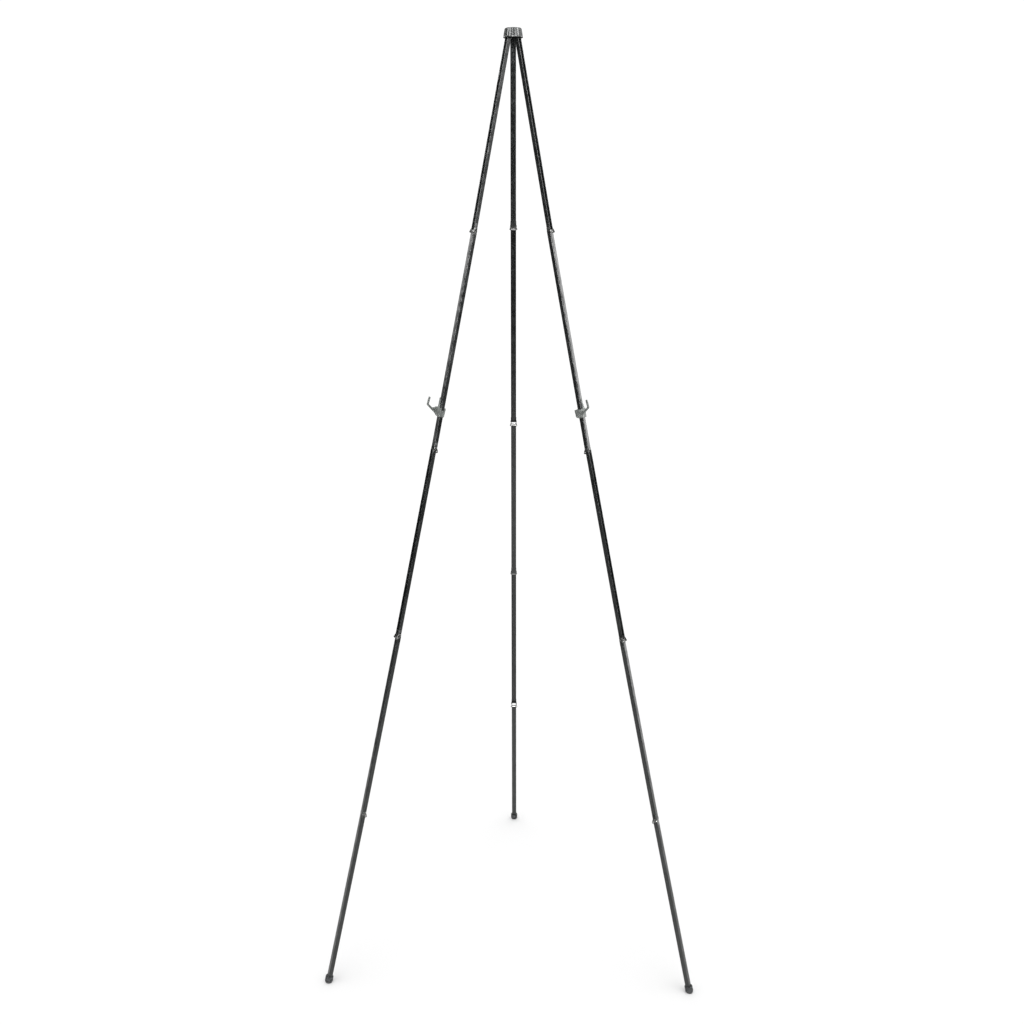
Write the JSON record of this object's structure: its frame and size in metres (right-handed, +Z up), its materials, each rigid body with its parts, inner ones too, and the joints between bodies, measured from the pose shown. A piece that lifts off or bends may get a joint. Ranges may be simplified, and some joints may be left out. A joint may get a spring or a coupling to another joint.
{
  "type": "flipchart easel",
  "caption": "Folding tripod easel with hinged channel legs, a fluted top cap, rubber feet and two sliding board holders.",
  "frame": {"origin": "on the floor, at the middle of the footprint's bounding box, under the easel", "axes": "+Z up; -Y is the front, where a board stands across the two front legs; +X to the right seen from the front"},
  "size_m": [0.6388, 0.555, 1.5927],
  "materials": {
    "black_steel": "gloss black paint",
    "rivet_steel": "blackened steel",
    "cap_plastic": "satin black plastic",
    "holder_plastic": "matt dark grey plastic",
    "foot_rubber": "matt black rubber"
  },
  "bodies": {
    "hub": {"hub": "cap_plastic", "top_cap": "cap_plastic", "front_left_hub_pin": "rivet_steel", "front_right_hub_pin": "rivet_steel", "rear_hub_pin": "rivet_steel"},
    "front_left_section_1": {"front_left_leg_section_1": "black_steel", "front_left_knee_rivet_1": "rivet_steel"},
    "front_left_section_2": {"front_left_leg_section_2": "black_steel", "front_left_knee_rivet_2": "rivet_steel"},
    "front_left_section_3": {"front_left_leg_section_3": "black_steel", "front_left_knee_rivet_3": "rivet_steel"},
    "front_left_section_4": {"front_left_leg_section_4": "black_steel", "front_left_knee_rivet_4": "rivet_steel"},
    "front_left_section_5": {"front_left_leg_section_5": "black_steel", "front_left_foot": "foot_rubber"},
    "front_left_holder": {"front_left_board_holder": "holder_plastic"},
    "front_right_section_1": {"front_right_leg_section_1": "black_steel", "front_right_knee_rivet_1": "rivet_steel"},
    "front_right_section_2": {"front_right_leg_section_2": "black_steel", "front_right_knee_rivet_2": "rivet_steel"},
    "front_right_section_3": {"front_right_leg_section_3": "black_steel", "front_right_knee_rivet_3": "rivet_steel"},
    "front_right_section_4": {"front_right_leg_section_4": "black_steel", "front_right_knee_rivet_4": "rivet_steel"},
    "front_right_section_5": {"front_right_leg_section_5": "black_steel", "front_right_foot": "foot_rubber"},
    "front_right_holder": {"front_right_board_holder": "holder_plastic"},
    "rear_section_1": {"rear_leg_section_1": "black_steel", "rear_knee_rivet_1": "rivet_steel"},
    "rear_section_2": {"rear_leg_section_2": "black_steel", "rear_knee_rivet_2": "rivet_steel"},
    "rear_section_3": {"rear_leg_section_3": "black_steel", "rear_knee_rivet_3": "rivet_steel"},
    "rear_section_4": {"rear_leg_section_4": "black_steel", "rear_knee_rivet_4": "rivet_steel"},
    "rear_section_5": {"rear_leg_section_5": "black_steel", "rear_foot": "foot_rubber"}
  },
  "joints": [
    {"name": "front_left_leg_hinge", "type": "hinge", "parent": "hub", "child": "front_left_section_1", "pos_m": [-0.00606, -0.09374, 1.58468], "axis": [0.5, -0.866, 0], "range_deg": [0, 11.8]},
    {"name": "front_left_knee_1", "type": "hinge", "parent": "front_left_section_1", "child": "front_left_section_2", "pos_m": [-0.06414, -0.12727, 1.28097], "axis": [-0.5, 0.866, 0], "range_deg": [0, 176]},
    {"name": "front_left_knee_2", "type": "hinge", "parent": "front_left_section_2", "child": "front_left_section_3", "pos_m": [-0.12376, -0.1617, 0.92754], "axis": [0.5, -0.866, 0], "range_deg": [0, 175]},
    {"name": "front_left_knee_3", "type": "hinge", "parent": "front_left_section_3", "child": "front_left_section_4", "pos_m": [-0.19089, -0.20045, 0.61544], "axis": [-0.5, 0.866, 0], "range_deg": [0, 176]},
    {"name": "front_left_knee_4", "type": "hinge", "parent": "front_left_section_4", "child": "front_left_section_5", "pos_m": [-0.24717, -0.23295, 0.30253], "axis": [0.5, -0.866, 0], "range_deg": [0, 175]},
    {"name": "front_left_holder_slide", "type": "slide", "parent": "front_left_section_2", "child": "front_left_holder", "axis": [0.183, 0.1057, 0.9774], "range_m": [-0.02, 0.05]},
    {"name": "front_right_leg_hinge", "type": "hinge", "parent": "hub", "child": "front_right_section_1", "pos_m": [0.00606, -0.09374, 1.58468], "axis": [0.5, 0.866, 0], "range_deg": [0, 11.8]},
    {"name": "front_right_knee_1", "type": "hinge", "parent": "front_right_section_1", "child": "front_right_section_2", "pos_m": [0.06414, -0.12727, 1.28097], "axis": [-0.5, -0.866, 0], "range_deg": [0, 176]},
    {"name": "front_right_knee_2", "type": "hinge", "parent": "front_right_section_2", "child": "front_right_section_3", "pos_m": [0.12376, -0.1617, 0.92754], "axis": [0.5, 0.866, 0], "range_deg": [0, 175]},
    {"name": "front_right_knee_3", "type": "hinge", "parent": "front_right_section_3", "child": "front_right_section_4", "pos_m": [0.19089, -0.20045, 0.61544], "axis": [-0.5, -0.866, 0], "range_deg": [0, 176]},
    {"name": "front_right_knee_4", "type": "hinge", "parent": "front_right_section_4", "child": "front_right_section_5", "pos_m": [0.24717, -0.23295, 0.30253], "axis": [0.5, 0.866, 0], "range_deg": [0, 175]},
    {"name": "front_right_holder_slide", "type": "slide", "parent": "front_right_section_2", "child": "front_right_holder", "axis": [-0.183, 0.1057, 0.9774], "range_m": [-0.02, 0.05]},
    {"name": "rear_leg_hinge", "type": "hinge", "parent": "hub", "child": "rear_section_1", "pos_m": [0, -0.08324, 1.58468], "axis": [-1, 0, 0], "range_deg": [0, 11.8]},
    {"name": "rear_knee_1", "type": "hinge", "parent": "rear_section_1", "child": "rear_section_2", "pos_m": [0, -0.01618, 1.28097], "axis": [1, 0, 0], "range_deg": [0, 176]},
    {"name": "rear_knee_2", "type": "hinge", "parent": "rear_section_2", "child": "rear_section_3", "pos_m": [0, 0.05266, 0.92754], "axis": [-1, 0, 0], "range_deg": [0, 175]},
    {"name": "rear_knee_3", "type": "hinge", "parent": "rear_section_3", "child": "rear_section_4", "pos_m": [0, 0.13018, 0.61544], "axis": [1, 0, 0], "range_deg": [0, 176]},
    {"name": "rear_knee_4", "type": "hinge", "parent": "rear_section_4", "child": "rear_section_5", "pos_m": [0, 0.19517, 0.30253], "axis": [-1, 0, 0], "range_deg": [0, 175]}
  ]
}
